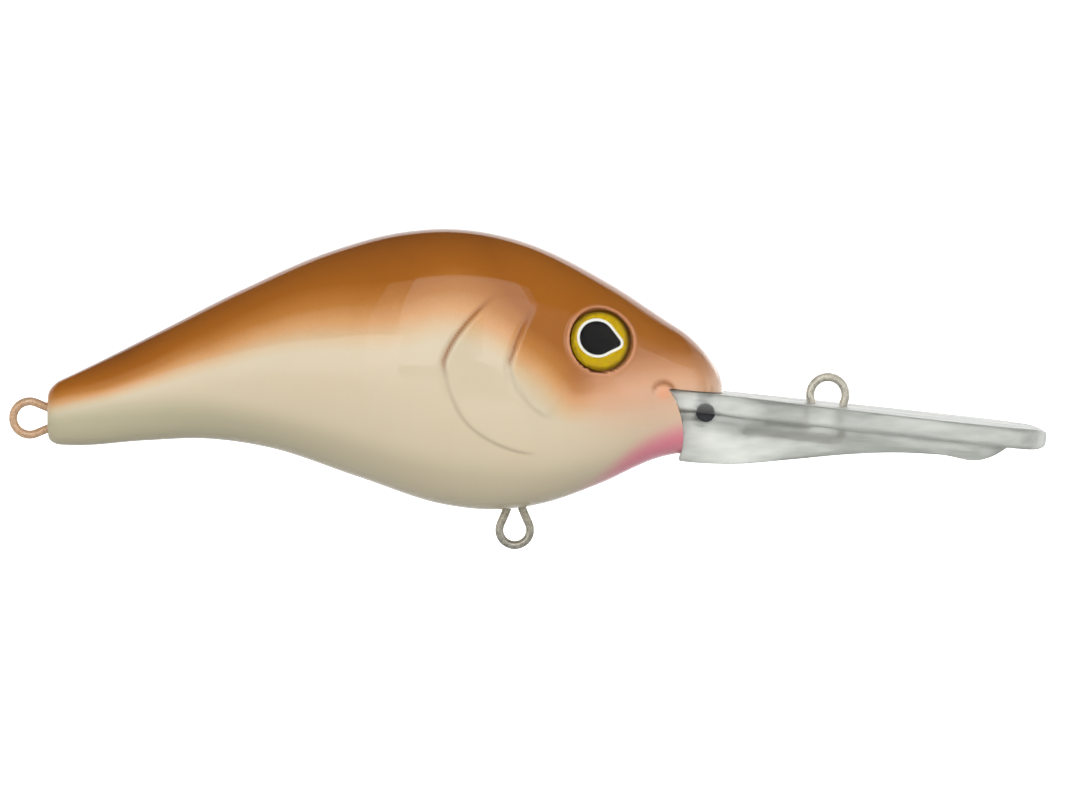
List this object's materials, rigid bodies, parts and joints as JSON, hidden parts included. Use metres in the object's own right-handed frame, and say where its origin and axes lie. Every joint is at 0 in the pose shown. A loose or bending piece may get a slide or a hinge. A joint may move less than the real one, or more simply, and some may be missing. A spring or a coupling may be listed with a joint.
{
  "type": "crankbait lure",
  "caption": "Deep-diving crankbait: a hollow painted plastic body with a clear diving bill, bent-wire line tie and hook hangers, and loose rattle and casting balls inside.",
  "frame": {"origin": "centre of the line tie's loop, on the lure's middle plane", "axes": "+X towards the bill's tip, +Y to the lure's left, +Z towards its back; the lure is symmetric about Y = 0 outside"},
  "size_m": [0.1177, 0.022, 0.0365],
  "materials": {
    "painted_shell": "airbrushed brown back over a cream flank and a pink throat, under a gloss clear coat",
    "clear_polycarbonate": "clear, polished",
    "dark_weight": "dull dark metal",
    "steel_wire": "drawn wire, nickel plated, with paint overspray near the body",
    "eye_foil": "printed gold foil",
    "eye_dome": "clear, polished",
    "ball_steel": "polished"
  },
  "bodies": {
    "lure": {"body_shell_right": "painted_shell", "body_shell_left": "painted_shell", "diving_bill": "clear_polycarbonate", "bill_weight": "dark_weight", "line_tie_wire": "steel_wire", "belly_hook_hanger": "steel_wire", "tail_hook_hanger": "steel_wire", "eye_foil_right": "eye_foil", "eye_foil_left": "eye_foil", "eye_dome_right": "eye_dome", "eye_dome_left": "eye_dome", "ballast_rear": "dark_weight", "ballast_front": "dark_weight"},
    "casting_ball": {"casting_ball": "ball_steel"},
    "rattle_ball_rear": {"rattle_ball_rear": "ball_steel"},
    "rattle_ball_middle": {"rattle_ball_middle": "ball_steel"},
    "rattle_ball_front": {"rattle_ball_front": "ball_steel"}
  },
  "joints": [
    {"name": "casting_ball_roll", "type": "slide", "parent": "lure", "child": "casting_ball", "axis": [-0.9896, 0, 0.1437], "range_m": [0, 0.0187]},
    {"name": "rattle_ball_rear_hop", "type": "slide", "parent": "lure", "child": "rattle_ball_rear", "axis": [0, 0, 1], "range_m": [0, 0.0035]},
    {"name": "rattle_ball_middle_hop", "type": "slide", "parent": "lure", "child": "rattle_ball_middle", "axis": [0, 0, 1], "range_m": [0, 0.0035]},
    {"name": "rattle_ball_front_hop", "type": "slide", "parent": "lure", "child": "rattle_ball_front", "axis": [0, 0, 1], "range_m": [0, 0.0035]}
  ]
}
